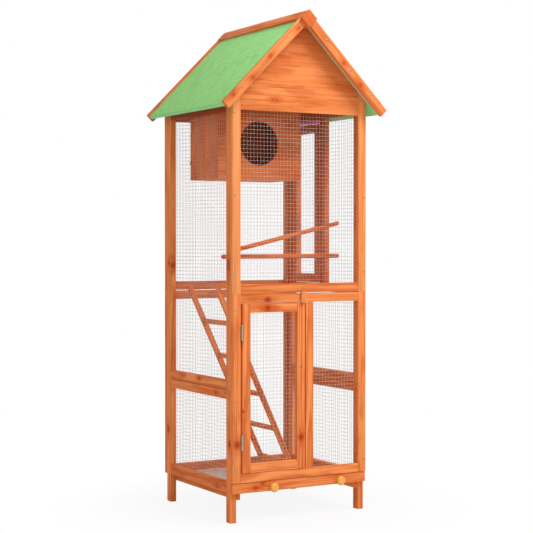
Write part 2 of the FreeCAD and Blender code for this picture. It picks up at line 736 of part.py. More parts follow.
def hinge_leaf(name, gap, outward, knuckles):
    """One leaf about an axis through the origin, its plate on the side that outward names."""
    thick = (f"{gap} / 2 - leaf_thickness", f"{gap} / 2") if outward > 0 else (f"-{gap} / 2",
                                                                             f"leaf_thickness - {gap} / 2")
    plate_span = ("axis_offset", "axis_offset + leaf_width")
    solids = [board(name + "_plate", thick, plate_span, ("0", "hinge_length"))]
    for count in knuckles:
        low = f"({segment} + seat_gap) * {count}"
        solids.append(rod(f"{name}_knuckle_{count}", "knuckle_radius", segment, z=low))
        solids.append(board(f"{name}_neck_{count}", thick, ("0", "axis_offset"), (low, f"{low} + {segment}")))
    whole = doc.addObject("Part::MultiFuse", name + "_whole")
    whole.Shapes = solids
    leaf = doc.addObject("Part::Cut", name + "_leaf")
    leaf.Base = whole
    leaf.Tool = rod(name + "_bore", "pin_radius + pin_gap", "hinge_length")
    return leaf


def hinge_pair(door, gap, x, y, levels, frame_side, turn):
    """Frame leaves, door leaves and pins of one door's two hinges."""
    frame_leaves = []
    door_leaves = []
    pins = []
    for end, level in zip(("low", "high"), levels):
        frame_leaf = hinge_leaf(f"{door}_{end}_frame", gap, frame_side, range(0, knuckle_count, 2))
        door_leaf = hinge_leaf(f"{door}_{end}_door", gap, -frame_side, range(1, knuckle_count, 2))
        for leaf in (frame_leaf, door_leaf):
            leaf.Placement = FreeCAD.Placement(FreeCAD.Vector(), FreeCAD.Rotation(z_axis, turn))
            place(leaf, x, y, level)
        frame_leaves.append(frame_leaf)
        door_leaves.append(door_leaf)
        pins.append(rod(f"{door}_{end}_pin", "pin_radius", "hinge_length + 2 * pin_tail", x, y,
                        f"{level} - pin_tail"))
    return frame_leaves, door_leaves, pins


front_levels = ("door_bottom + hinge_foot_inset", "door_top - hinge_head_inset - hinge_length")
side_levels = ("side_door_bottom + hinge_foot_inset", "side_door_top - hinge_head_inset - hinge_length")
front_hinges = hinge_pair("front", "front_hinge_gap", "front_axis", "cage_front - axis_offset", front_levels,
                          -1, 0)
side_hinges = hinge_pair("side", "side_hinge_gap", "cage_right + axis_offset", "side_axis", side_levels,
                         1, quarter_turn)
node("frame_hinge_leaves", *front_hinges[0], *side_hinges[0])
node("front_door_hinge_leaves", *front_hinges[1])
node("side_door_hinge_leaves", *side_hinges[1])
node("hinge_pins", *front_hinges[2], *side_hinges[2])


# Turn buttons: short wooden bars with round corners, each on one screw.
def turn_button(name, plane, centre, long_up, span):
    across, level = centre
    high = "button_long_end" if long_up else "button_short_end"
    low = "button_short_end" if long_up else "button_long_end"
    left = f"{across} - button_width / 2"
    right = f"{across} + button_width / 2"
    points = [(left, f"{level} - {low}"), (right, f"{level} - {low}"), (right, f"{level} + {high}"),
              (left, f"{level} + {high}")]
    body = plate(name, plane, points, span, [(centre, "button_bore_radius")])
    doc.recompute()
    thick = number("button_thickness")

    def is_corner(edge):
        return isinstance(edge.Curve, Part.Line) and abs(edge.Length - thick) < thick / 100
    round_edges(body, name + "_corners", "button_round", is_corner)
    return body


front_button_span = ("cage_front - seat_gap - button_thickness", "cage_front - seat_gap")
side_button_span = ("cage_right + seat_gap", "cage_right + seat_gap + button_thickness")
node("front_turn_button", turn_button("front_button", "XZ_Plane", ("front_button_side", "front_button_level"),
                                      True, front_button_span))
node("side_turn_button", turn_button("side_button", "YZ_Plane", ("side_button_depth", "side_button_level"),
                                     False, side_button_span))


# Screws: a domed head, and under it a shank or a washer where the piece has one.
def screw(name, x, y, z, facing, under=None):
    """A screw head at a point of a face; facing is -y, y, -x or x, and under is (radius, height)."""
    axis, angle = {"-y": (x_axis, quarter_turn), "y": (x_axis, -quarter_turn),
                   "-x": (y_axis, -quarter_turn), "x": (y_axis, quarter_turn)}[facing]
    head = rod(name + "_head", "screw_radius", "screw_height", z=under[1] if under else "0",
               top_radius="screw_top_radius")
    solids = [head]
    if under:
        solids.append(rod(name + "_under", under[0], under[1]))
    whole = doc.addObject("Part::MultiFuse" if under else "Part::Compound", name + "_screw")
    if under:
        whole.Shapes = solids
    else:
        whole.Links = solids
    whole.Placement = FreeCAD.Placement(FreeCAD.Vector(), FreeCAD.Rotation(axis, angle))
    return place(whole, x, y, z)


button_under = ("button_shank_radius", "2 * seat_gap + button_thickness")
node("turn_button_screws",
     screw("front_button", "front_button_side", "cage_front", "front_button_level", "-y", button_under),
     screw("side_button", "cage_right", "side_button_depth", "side_button_level", "x", button_under))

frame_screws = []
for sign, side in (("-", "left"), ("", "right")):
    across = f"{sign}(cage_right - screw_inset)"
    stretches = (("front_bottom", "front_seam", lower_screw_shares), ("front_seam", "eave_at_face",
                                                                      upper_screw_shares))
    for low, high, screw_shares in stretches:
        for count, share in enumerate(screw_shares):
            level = f"{low} + ({high} - {low}) * {share}"
            frame_screws.append(screw(f"{side}_{low}_{count}", across, "cage_front", level, "-y"))
    edge = screw(side + "_sill", f"{sign}cage_right", "(cage_front + front_inner) / 2",
                 "(front_bottom + front_sill) / 2", sign + "x")
    frame_screws.append(edge)
    for end, face, facing in (("front", "barge_front", "-y"), ("rear", "barge_back", "y")):
        for count, share in enumerate(barge_screw_shares):
            down = f"roof_length * {share}"
            across_barge = (f"{sign}(ridge_half_width + {down} * cos(roof_pitch_angle)"
                            " - barge_width / 2 * sin(roof_pitch_angle))")
            level = (f"ridge_shoulder - {down} * sin(roof_pitch_angle)"
                     " - barge_width / 2 * cos(roof_pitch_angle)")
            frame_screws.append(screw(f"{side}_{end}_barge_{count}", across_barge, face, level, facing))
frame_screws.append(screw("middle", "front_button_side", "cage_front",
                          "(front_upper_foot + front_upper_sill) / 2", "-y"))
node("frame_screws", *frame_screws)

washer = ("washer_radius", "washer_thickness")
mesh_screws = []
for perch_name in ("lower_perch", "upper_perch"):
    for side, face, facing in (("left", "left_inner", "-x"), ("right", "right_inner", "x")):
        mesh_screws.append(screw(f"{perch_name}_{side}", face, f"front_inner + {perch_name}_{side}_depth",
                                 f"{perch_name}_{side}_level", facing, washer))
for end, depth in (("front", "nest_front + nest_board / 2"), ("rear", "nest_back - nest_board / 2")):
    mesh_screws.append(screw("nest_" + end, "left_inner", depth, "nest_level + nest_screw_rise", "-x",
                             washer))
node("mesh_screws", *mesh_screws)

# Check every object, then write each sub-part to its own file.
doc.recompute()
for item in doc.Objects:
    if "Invalid" in item.State or "Error" in item.State:
        raise RuntimeError(f"{item.Label} failed: {item.State}")
os.makedirs("parts", exist_ok=True)
for name, part in nodes.items():
    shape = part.Shape
    if shape.isNull() or not shape.isValid():
        raise RuntimeError(f"{name} has no valid shape")
for name, part in nodes.items():
    part.Shape.exportStep(f"parts/{name}.step")
box = Part.makeCompound([part.Shape for part in nodes.values()]).BoundBox
solids = sum(len(part.Shape.Solids) for part in nodes.values())
print("nodes", len(nodes), "solids", solids)
print("size", round(box.XLength, 2), round(box.YLength, 2), round(box.ZLength, 2))
print("from", round(box.XMin, 2), round(box.YMin, 2), round(box.ZMin, 2))
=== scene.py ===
import json
import math
import random

import bmesh
import bpy
from mathutils import Matrix, Vector


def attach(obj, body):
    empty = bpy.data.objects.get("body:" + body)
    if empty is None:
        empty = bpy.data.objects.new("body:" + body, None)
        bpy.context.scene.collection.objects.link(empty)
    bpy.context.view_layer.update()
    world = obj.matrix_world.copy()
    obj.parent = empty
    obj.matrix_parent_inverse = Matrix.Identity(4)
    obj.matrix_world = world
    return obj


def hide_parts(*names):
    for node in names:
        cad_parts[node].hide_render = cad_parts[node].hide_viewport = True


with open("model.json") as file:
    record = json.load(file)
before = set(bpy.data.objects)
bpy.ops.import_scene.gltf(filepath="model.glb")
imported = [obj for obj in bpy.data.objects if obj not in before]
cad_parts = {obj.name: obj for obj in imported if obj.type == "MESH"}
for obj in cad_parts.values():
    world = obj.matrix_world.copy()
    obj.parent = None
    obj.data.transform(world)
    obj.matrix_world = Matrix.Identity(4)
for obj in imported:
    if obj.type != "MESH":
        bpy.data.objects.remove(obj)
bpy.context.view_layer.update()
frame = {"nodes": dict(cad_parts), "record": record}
nodes = frame["nodes"]
bodyOf = {name: body for body, names in frame["record"]["behaviour"]["bodies"].items() for name in names}
slotOf = {part["node"]: part["material_slot"] for part in frame["record"]["subparts"]}
scene = bpy.context.scene
print("frame loaded:", len(nodes), "nodes")

camera = {
    "place": (-2.4019, -4.1798, 0.9210),
    "tilt": 88.983,
    "turn": -29.956,
    "lens": 93.2,
    "sensor": 36,
    "farthest": 50,
}


def placeCamera():
    lens = bpy.data.cameras.new("photoCamera")
    lens.lens = camera["lens"]
    lens.sensor_width = camera["sensor"]
    lens.clip_end = camera["farthest"]
    holder = bpy.data.objects.new("photoCamera", lens)
    holder.location = camera["place"]
    holder.rotation_euler = (math.radians(camera["tilt"]), 0, math.radians(camera["turn"]))
    scene.collection.objects.link(holder)
    scene.camera = holder


placeCamera()
scene.view_settings.view_transform = "Standard"
print("camera placed")


class Flow:
    # one output socket of a node tree; sums and products of flows add Math nodes to it
    def __init__(self, graph, socket):
        self.graph = graph
        self.socket = socket

    def math(self, operation, *values):
        return self.graph.node("ShaderNodeMath", {"operation": operation}, dict(enumerate(values)))

    def __add__(self, other):
        return self.math("ADD", self, other)

    def __sub__(self, other):
        return self.math("SUBTRACT", self, other)

    def __mul__(self, other):
        return self.math("MULTIPLY", self, other)

    def __truediv__(self, other):
        return self.math("DIVIDE", self, other)

    def __pow__(self, other):
        return self.math("POWER", self, other)

    def wrapped(self):
        return self.math("FRACT", self)

    def between(self, low, high, start=0.0, end=1.0):
        # a smooth step from start at low to end at high
        return self.graph.node("ShaderNodeMapRange", {"interpolation_type": "SMOOTHSTEP"},
                               {0: self, 1: low, 2: high, 3: start, 4: end})

    def scaled(self, factors):
        # a vector stretched by three factors
        return self.graph.node("ShaderNodeVectorMath", {"operation": "MULTIPLY"}, {0: self, 1: factors})

    def shifted(self, step):
        return self.graph.node("ShaderNodeVectorMath", {"operation": "ADD"}, {0: self, 1: step})

    def distanceTo(self, point):
        return self.graph.node("ShaderNodeVectorMath", {"operation": "DISTANCE"}, {0: self, 1: point}, 1)


class Graph:
    # a node tree with one way to add a node: its type, its settings, then the values or links of its sockets
    def __init__(self, tree):
        self.tree = tree

    def node(self, kind, settings=None, sockets=None, output=0):
        made = self.tree.nodes.new(kind)
        for key, value in (settings or {}).items():
            setattr(made, key, value)
        for key, value in (sockets or {}).items():
            if isinstance(value, Flow):
                self.tree.links.new(value.socket, made.inputs[key])
            else:
                made.inputs[key].default_value = value
        return Flow(self, made.outputs[output]) if made.outputs else made

    def blend(self, factor, first, second, mode="MIX"):
        first, second = [(*c, 1) if isinstance(c, tuple) else c for c in (first, second)]
        return self.node("ShaderNodeMix", {"data_type": "RGBA", "blend_type": mode},
                         {0: factor, 6: first, 7: second}, 2)

    def noise(self, place, scale, detail=3.0, roughness=0.5, output=0):
        return self.node("ShaderNodeTexNoise", {},
                         {"Vector": place, "Scale": scale, "Detail": detail, "Roughness": roughness}, output)

    def attribute(self, name, output="Vector"):
        return self.node("ShaderNodeAttribute", {"attribute_name": name}, {}, output)

    def place(self):
        return self.node("ShaderNodeTexCoord", {}, {}, "Object")

    def parts(self, vector):
        split = self.tree.nodes.new("ShaderNodeSeparateXYZ")
        self.tree.links.new(vector.socket, split.inputs[0])
        return [Flow(self, socket) for socket in split.outputs]

    def joined(self, x, y, z):
        return self.node("ShaderNodeCombineXYZ", {}, {0: x, 1: y, 2: z})

    def bump(self, height, distance, strength=1.0):
        return self.node("ShaderNodeBump", {}, {"Strength": strength, "Distance": distance, "Height": height})


def newPaint(name):
    material = bpy.data.materials.new(name)
    material.use_nodes = True
    material.node_tree.nodes.clear()
    return material, Graph(material.node_tree)


def finishPaint(paint, sockets):
    surface = paint.node("ShaderNodeBsdfPrincipled", {}, sockets)
    paint.node("ShaderNodeOutputMaterial", {}, {"Surface": surface})


stainedPine = {
    "early": (0.92, 0.325, 0.098),
    "late": (0.60, 0.125, 0.026),
    "pale": (0.97, 0.430, 0.165),
    "deep": (0.60, 0.112, 0.021),
    "shaded": (0.30, 0.045, 0.009),
    "knot": (0.23, 0.032, 0.008),
    "halo": (0.55, 0.070, 0.011),
    "endGrain": (0.66, 0.155, 0.036),
    "ringSpacing": 0.0058,
    "ringContrast": 0.78,
    "ringWave": 0.014,
    "ringRipple": 0.0026,
    "ringDrift": 0.004,
    "largeKnot": 0.0122,
    "smallKnot": 0.0045,
    "knotCell": (0.30, 0.06, 0.06),
    "knotShape": (0.78, 1.0, 1.0),
    "knotWander": 0.004,
    "pushShape": (0.34, 1.0, 1.0),
    "pushDepth": 0.0055,
    "gloss": 0.14,
    "bumpDepth": 0.00035,
}
knotLayers = ("knotOne", "knotTwo", "knotThree", "knotFour")


def knotFields(grain, point, radius, wander):
    # how far a knot pushes the grain aside, how much of its body shows, and its dark eye
    shape, stretch = stainedPine["knotShape"], stainedPine["pushShape"]
    near = grain.scaled(shape).distanceTo(point.scaled(shape)) + wander
    flow = grain.scaled(stretch).distanceTo(point.scaled(stretch))
    push = flow.between(0.0, radius * 2.0, 1.0, 0.0)
    body = near.between(radius * 0.5, radius * 1.35, 1.0, 0.0)
    eye = near.between(radius * 0.1, radius * 0.62, 1.0, 0.0)
    return push, body, eye


def makePine():
    look = stainedPine
    material, paint = newPaint("stainedPine")
    grain = paint.attribute("grain")
    tone, knotStrength, figure = paint.parts(paint.attribute("stickLook"))
    ends = paint.attribute("endGrain", "Fac")
    along, across, through = paint.parts(grain)

    # scattered knots: one point in each cell of a stretched lattice
    cell = look["knotCell"]
    lattice = grain.scaled(tuple(1 / size for size in cell))
    point = paint.node("ShaderNodeTexVoronoi", {"feature": "F1"},
                       {"Vector": lattice, "Scale": 1.0}, "Position")
    wander = paint.noise(grain, 150, 2) * look["knotWander"] - look["knotWander"] / 2
    large = (knotStrength * 0.5 + 0.5) * look["largeKnot"]
    spots = [(point.scaled(cell), look["smallKnot"])]
    spots += [(paint.attribute(title), large) for title in knotLayers]
    push, knotBody, eye = 0.0, 0.0, 0.0
    for spot, radius in spots:
        onePush, oneBody, oneEye = knotFields(grain, spot, radius, wander)
        push = onePush + push
        knotBody = oneBody + knotBody
        eye = oneEye + eye

    # growth rings round a pith line beside the stick
    wave = paint.noise(grain.scaled((2.2, 14, 14)), 1.0, 2) * look["ringWave"]
    ripple = paint.noise(grain.scaled((9, 60, 60)), 1.0, 2) * look["ringRipple"]
    pith = (across * across + through * through) ** 0.5
    field = pith + wave + ripple + along * look["ringDrift"] + push * push * look["pushDepth"]
    turn = (field / look["ringSpacing"]).wrapped()
    late = turn.between(0.25, 0.86) * turn.between(0.90, 1.0, 1.0, 0.0)
    fibre = paint.noise(grain.scaled((18, 900, 900)), 1.0, 3)
    streak = paint.noise(grain.scaled((3.0, 110, 110)), 1.0, 3)
    blotch = paint.noise(grain.scaled((7, 30, 30)), 1.0, 3)

    # one stain over the other, with painted shade and painted light among them: where it lies, and its name
    stainsAndPaintedShade = (
        (late * figure * look["ringContrast"], "late"),
        (streak.between(0.52, 0.68) * 0.6, "pale"),
        (streak.between(0.47, 0.32) * 0.6, "late"),
        # tone from the tone table is painted shade on sticks that lie in shade: over 0 it darkens towards
        # deep, over 1 towards the shaded colour; below 0 it turns pale, which is painted light on two shaded
        # sticks
        (blotch.between(0.50, 0.34) * 0.4 + tone * 0.6, "deep"),
        (tone.between(1.0, 2.0) * 0.85, "shaded"),
        (tone.between(0.0, -1.0) * 0.6, "pale"),
        (push.between(0.05, 0.9) * 0.55, "late"),
        (knotBody.between(0.0, 1.0) * knotStrength * 0.85, "halo"),
        (eye.between(0.0, 1.0) * knotStrength * 0.8, "knot"),
        (ends * 0.75, "endGrain"),
    )
    color = look["early"]
    for share, title in stainsAndPaintedShade:
        color = paint.blend(share, color, look[title])
    shade = blotch * 0.22 + fibre * 0.16 + 0.82
    color = paint.blend(1.0, color, paint.joined(shade, shade, shade), "MULTIPLY")

    height = fibre * 0.35 - late * 0.3 - eye * 0.5
    roughness = fibre * 0.16 + late * 0.08 + ends * 0.2 + 0.42
    finishPaint(paint, {"Base Color": color, "Roughness": roughness, "Specular IOR Level": look["gloss"],
                        "Normal": paint.bump(height, look["bumpDepth"], 0.7)})
    return material


paleKnob = {
    "early": (0.93, 0.49, 0.085),
    "late": (0.74, 0.32, 0.045),
    "ringSpacing": 0.0026,
    "ovalStretch": 0.12,
    "middleHeight": 0.085,
}


def makeKnobWood():
    # turned and varnished: the rings show as ovals on the face of the knob
    material, paint = newPaint("knobWood")
    place = paint.place()
    x, y, z = paint.parts(place)
    bend = paint.noise(place, 40, 2) * 0.004
    lift = z - paleKnob["middleHeight"]
    rings = ((x * x * paleKnob["ovalStretch"] + lift * lift) ** 0.5 + bend) / paleKnob["ringSpacing"]
    late = rings.wrapped().between(0.3, 0.9)
    fibre = paint.noise(place.scaled((160, 900, 900)), 1.0, 3)
    color = paint.blend(late * 0.5, paleKnob["early"], paleKnob["late"])
    color = paint.blend(fibre * 0.25, color, paleKnob["late"])
    finishPaint(paint, {"Base Color": color, "Roughness": fibre * 0.1 + 0.24,
                        "Coat Weight": 0.35, "Coat Roughness": 0.12,
                        "Normal": paint.bump(fibre, 0.0001, 0.4)})
    return material


mineralFelt = {
    "grit": ((0.195, 0.63, 0.178), (0.305, 0.81, 0.262), (0.435, 0.93, 0.372)),
    "dust": (0.39, 0.86, 0.34),
    "gritSize": 0.0011,
}


def makeFelt():
    material, paint = newPaint("mineralFelt")
    place = paint.place()
    grit = paint.node("ShaderNodeTexVoronoi", {"feature": "F1"},
                      {"Vector": place, "Scale": 1 / mineralFelt["gritSize"]}, "Color")
    red = paint.parts(grit)[0]
    low, middle, high = mineralFelt["grit"]
    color = paint.blend(red.between(0.0, 0.55), low, middle)
    color = paint.blend(red.between(0.55, 1.0), color, high)
    mottle = paint.noise(place, 48, 4, 0.62)
    patch = paint.noise(place.scaled((9, 16, 16)), 1.0, 3)
    color = paint.blend(mottle.between(0.42, 0.68) * 0.7, color, mineralFelt["dust"])
    color = paint.blend(patch.between(0.5, 0.75) * 0.45, color, low)
    height = paint.noise(place, 900, 2) + mottle * 0.6
    finishPaint(paint, {"Base Color": color, "Roughness": patch * 0.1 + 0.84,
                        "Normal": paint.bump(height, 0.0012, 0.8)})
    return material


greenBoard = {
    "face": (0.30, 0.86, 0.36),
    "worn": (0.23, 0.70, 0.29),
    "bare": (0.41, 0.92, 0.45),
    "primer": (0.62, 0.66, 0.45),
    "primerStart": 0.2435,
    "primerWidth": 0.262,
    "primerFade": (0.001, 0.004),
}


def makeRoofBoard():
    # a thin green coat that lets the board's grain through, and pale primer on the front rim
    material, paint = newPaint("greenBoard")
    place = paint.place()
    streak = paint.noise(place.scaled((70, 5, 70)), 1.0, 4, 0.6)
    patch = paint.noise(place, 9, 3)
    color = paint.blend(streak.between(0.35, 0.7) * 0.5, greenBoard["face"], greenBoard["worn"])
    color = paint.blend(patch.between(0.5, 0.75) * 0.35, color, greenBoard["bare"])
    x, y, z = paint.parts(place)
    start, width = greenBoard["primerStart"], greenBoard["primerWidth"]
    frontFade, sideFade = greenBoard["primerFade"]
    front = (y * -1).between(start, start + frontFade)
    inside = ((x * x) ** 0.5).between(width, width + sideFade, 1.0, 0.0)
    color = paint.blend(front * inside, color, greenBoard["primer"])
    finishPaint(paint, {"Base Color": color, "Roughness": streak * 0.15 + 0.6,
                        "Normal": paint.bump(streak, 0.0005, 0.5)})
    return material


zincWire = {"bright": (0.67, 0.655, 0.635), "dull": (0.48, 0.468, 0.455)}


def makeZincWire():
    material, paint = newPaint("zincWire")
    place = paint.place()
    patch = paint.noise(place, 120, 3)
    fine = paint.noise(place, 900, 2)
    color = paint.blend(patch.between(0.35, 0.7), zincWire["bright"], zincWire["dull"])
    finishPaint(paint, {"Base Color": color, "Metallic": 0.3, "Roughness": fine * 0.2 + 0.5,
                        "Normal": paint.bump(fine, 0.0002, 0.4)})
    return material


zincSheet = {"bright": (0.84, 0.83, 0.82), "dull": (0.68, 0.67, 0.66), "spangle": 0.018, "bend": 0.012}


def makeZincSheet():
    # the frost flowers of hot-dip zinc: flat crystals, each with its own shine
    material, paint = newPaint("zincSheet")
    place = paint.place()
    bend = paint.noise(place, 60, 2, 0.5, 1).scaled([zincSheet["bend"]] * 3)
    crystals = paint.node("ShaderNodeTexVoronoi", {"feature": "F1"},
                          {"Vector": place.shifted(bend), "Scale": 1 / zincSheet["spangle"]}, "Color")
    lightness = paint.parts(crystals)[0]
    scratch = paint.noise(place.scaled((12, 240, 240)), 1.0, 3)
    color = paint.blend(lightness, zincSheet["dull"], zincSheet["bright"])
    finishPaint(paint, {"Base Color": color, "Metallic": 0.5,
                        "Roughness": lightness * 0.12 + scratch * 0.12 + 0.3,
                        "Normal": paint.bump(scratch + lightness * 0.4, 0.0002, 0.3)})
    return material


platedSteel = {
    "hingeSteel": ((0.56, 0.54, 0.50), (0.30, 0.29, 0.27)),
    "screwSteel": ((0.46, 0.44, 0.41), (0.30, 0.29, 0.265)),
}


def makePlatedSteel(name):
    # screws on the perches and the nest box were stained over with the wood
    material, paint = newPaint(name)
    bright, dull = platedSteel[name]
    place = paint.place()
    stain = paint.attribute("stain", "Fac")
    patch = paint.noise(place, 220, 3)
    brushed = paint.noise(place.scaled((1200, 1200, 90)), 1.0, 3)
    color = paint.blend(patch.between(0.4, 0.75), bright, dull)
    color = paint.blend(stain * 0.85, color, stainedPine["deep"])
    finishPaint(paint, {"Base Color": color, "Metallic": stain * -0.7 + 0.8,
                        "Roughness": brushed * 0.2 + 0.28, "Normal": paint.bump(brushed, 0.0001, 0.3)})
    return material


pinkPlastic = {"face": (1.0, 0.14, 0.48), "faded": (1.0, 0.22, 0.56)}


def makeStripPlastic():
    material, paint = newPaint("pinkPlastic")
    place = paint.place()
    fine = paint.noise(place, 500, 3)
    patch = paint.noise(place, 30, 2)
    color = paint.blend(patch, pinkPlastic["face"], pinkPlastic["faded"])
    finishPaint(paint, {"Base Color": color, "Roughness": fine * 0.15 + 0.4,
                        "Normal": paint.bump(fine, 0.0001, 0.4)})
    return material


paints = {
    "frame_wood": makePine(),
    "knob_wood": makeKnobWood(),
    "felt": makeFelt(),
    "roof_board": makeRoofBoard(),
    "wire_mesh": makeZincWire(),
    "tray_sheet": makeZincSheet(),
    "hinge_steel": makePlatedSteel("hingeSteel"),
    "screw_steel": makePlatedSteel("screwSteel"),
    "strip_plastic": makeStripPlastic(),
}
print("materials made:", len(paints))


def readSolids(name):
    # a CAD node holds its closed solids one after another, so each ends where its last open edge is met;
    # corners count as one within a hundredth of a millimetre
    mesh = nodes[name].data
    keyOf = [tuple(round(value * 1e5) for value in vertex.co) for vertex in mesh.vertices]
    placeOf = {key: vertex.co.copy() for key, vertex in zip(keyOf, mesh.vertices)}
    solids, faces, openEdges = [], [], set()
    for polygon in mesh.polygons:
        keys = [keyOf[index] for index in polygon.vertices]
        if len(set(keys)) < 3:
            continue
        for start, end in zip(keys, keys[1:] + keys[:1]):
            if (end, start) in openEdges:
                openEdges.remove((end, start))
            else:
                openEdges.add((start, end))
        faces.append(keys)
        if not openEdges:
            solids.append(faces)
            faces = []
    return [(solid, placeOf) for solid in solids]


def solidBox(faces, placeOf):
    corners = [placeOf[key] for keys in faces for key in keys]
    low = Vector([min(corner[axis] for corner in corners) for axis in range(3)])
    high = Vector([max(corner[axis] for corner in corners) for axis in range(3)])
    return low, high


easedEdge = {
    "flatAngle": math.radians(0.6),
    "sharpAngle": math.radians(28),
    "steps": 2,
    "profile": 0.6,
}


def mergedSolid(faces, placeOf, bevelWidth):
    # one closed body with its flat faces whole again and its sharp edges eased
    body = bmesh.new()
    corners = {}
    for keys in faces:
        for key in keys:
            if key not in corners:
                corners[key] = body.verts.new(placeOf[key])
        ring = [corners[key] for key in keys]
        if not body.faces.get(ring):
            body.faces.new(ring)
    body.normal_update()
    bmesh.ops.dissolve_limit(body, angle_limit=easedEdge["flatAngle"], verts=body.verts[:],
                             edges=body.edges[:])
    body.normal_update()
    sharp = [edge for edge in body.edges if edge.calc_face_angle(0) > easedEdge["sharpAngle"]]
    if bevelWidth and sharp:
        bmesh.ops.bevel(body, geom=sharp, offset=bevelWidth, offset_type="OFFSET",
                        segments=easedEdge["steps"], profile=easedEdge["profile"], affect="EDGES",
                        clamp_overlap=True)
        body.normal_update()
    return body


def grainAxes(body):
    # along the longest edge, through the widest face
    longest = max(body.edges, key=lambda edge: edge.calc_length())
    along = (longest.verts[1].co - longest.verts[0].co).normalized()
    if max(along, key=abs) < 0:
        along = -along
    sides = [face for face in body.faces if abs(face.normal.dot(along)) < 0.3]
    widest = max(sides, key=lambda face: face.calc_area())
    through = (widest.normal - along * widest.normal.dot(along)).normalized()
    return Matrix((along, through.cross(along), through))


# knots seen on the object: node, then places on its surface in metres
seenKnots = {
    "left_upper_stiles": [(-0.260, 0.2294, 0.8473), (-0.251, 0.215, 0.838),
                          (-0.260, -0.2135, 0.853), (-0.260, -0.2135, 0.839)],
    "left_legs": [(-0.260, 0.236, 0.256), (-0.260, -0.2225, 0.259)],
    "front_lower_stiles": [(-0.244, -0.243, 0.259)],
    "front_door_frame": [(0.0005, -0.243, 0.268), (-0.128, -0.243, 0.704)],
    "front_lower_rails": [(-0.128, -0.243, 0.7305)],
    "front_upper_rail": [(-0.137, -0.230, 0.757)],
    "drawer_front": [(-0.1456, -0.241, 0.124), (-0.173, -0.241, 0.1122)],
    "left_lower_rails": [(-0.260, -0.1315, 0.112), (-0.260, -0.1256, 0.420)],
    "left_upper_rails": [(-0.260, 0.122, 0.4615), (-0.260, -0.003, 0.4583)],
    "front_gable": [(-0.108, -0.243, 1.3895), (-0.094, -0.243, 1.3885)],
    "front_bargeboards": [(-0.2812, -0.287, 1.394), (-0.2085, -0.287, 1.4525),
                          (-0.1425, -0.287, 1.5265), (-0.0376, -0.287, 1.624),
                          (0.1415, -0.287, 1.522), (0.209, -0.287, 1.452)],
}

# how strong the knots of a node show; 1 unless named here
knotStrengths = {
    "left_lower_rails": 0.6,
    "left_upper_rails": 0.5,
    "left_upper_stiles": 0.8,
    "front_gable": 0.45,
    "front_bargeboards": 0.55,
    "drawer_front": 0.7,
}

# how strong the growth rings of a node show; 1 unless named here
ringFigures = {
    "front_gable": 0.4,
    "front_bargeboards": 0.55,
    "front_upper_stiles": 0.75,
    "front_lower_stiles": 0.7,
}

# how deep the stain looks on some sticks, from -1, pale, to 2, dark: node and number of the stick. Many are
# painted shade on sticks that lie in shade, and above 1 a stick takes the painted shade colour; two are
# painted light
tonesAndPaintedShade = {
    ("front_upper_stiles", 0): -0.55,
    ("front_upper_stiles", 1): -0.25,
    ("front_lower_stiles", 0): 0.2,
    # painted light: this inner stile of the rear left post and its leg below are lightened where the nest box
    # shades them
    ("left_upper_stiles", 1): -0.2,
    ("left_legs", 1): -0.2,
    ("ridge_batten", 0): 0.7,
    ("front_upper_rail", 0): 0.5,
    ("front_lower_rails", 0): 0.0,
    ("front_bargeboards", 0): -0.1,
    ("front_bargeboards", 1): 0.25,
    # painted shade: the gable boards darken towards the top, where the roof and bargeboards shade them
    ("front_gable", 0): 0.3,
    ("front_gable", 1): 0.4,
    ("front_gable", 2): 0.75,
    ("front_gable", 3): 1.05,
    # painted shade: the nest box's side is darkened where the roof shades it
    ("nest_box_sides", 0): 0.9,
    ("rear_bargeboards", 0): 1.1,
    # painted shade: the rail under the eave and the nest box's front and back are darkened where the roof
    # shades them
    ("left_upper_rails", 1): 2.0,
    ("nest_box_front", 0): 0.8,
    ("nest_box_back", 0): 1.0,
    ("front_door_frame", 2): -0.25,
    ("lower_perch", 0): 1.1,
    ("upper_perch", 0): 1.1,
    # painted shade: the side door frame and the inner faces of the right frame are darkened where the cage
    # shades them
    ("side_door_frame", 0): 1.2,
    ("side_door_frame", 1): 1.1,
    ("side_door_frame", 2): 1.0,
    ("side_door_frame", 3): 1.3,
    ("right_upper_rails", 1): 1.4,
    ("right_upper_stiles", 1): 0.9,
    ("right_upper_stiles", 2): 1.3,
}


stickGrain = {
    "pithReach": (0.022, 0.060),
    "pithStart": (0, 5),
    "tone": (0.0, 0.6),
    "knotReach": 0.003,
    "farAway": (-9, -9, -9),
    "endFacing": 0.9,
}


def markGrain(body, name, number):
    # the stick's own coordinates, moved off a pith line that is different for each stick
    dice = random.Random(f"{name} {number}")
    axes = grainAxes(body)
    middle = sum((vertex.co for vertex in body.verts), Vector()) / len(body.verts)
    turn = dice.uniform(0, 2 * math.pi)
    reach = dice.uniform(*stickGrain["pithReach"])
    start = dice.uniform(*stickGrain["pithStart"])
    pith = Vector((start, reach * math.cos(turn), reach * math.sin(turn)))
    inside = [axes @ (vertex.co - middle) for vertex in body.verts]
    near = stickGrain["knotReach"]
    knots = []
    for spot in seenKnots.get(name, []):
        local = axes @ (Vector(spot) - middle)
        if all(min(place[axis] for place in inside) - near < local[axis]
               < max(place[axis] for place in inside) + near for axis in range(3)):
            knots.append(local + pith)
    knots += [Vector(stickGrain["farAway"])] * len(knotLayers)
    # the tone is painted shade or painted light for the sticks the tone table names, and a random stain tone
    # for the rest
    tone = tonesAndPaintedShade.get((name, number), dice.uniform(*stickGrain["tone"]))
    look = (tone, knotStrengths.get(name, 1.0), ringFigures.get(name, 1.0))
    grain = [place + pith for place in inside]
    ends = [float(abs(face.normal.dot(axes[0])) > stickGrain["endFacing"]) for face in body.faces]
    return grain, look, knots[:len(knotLayers)], ends


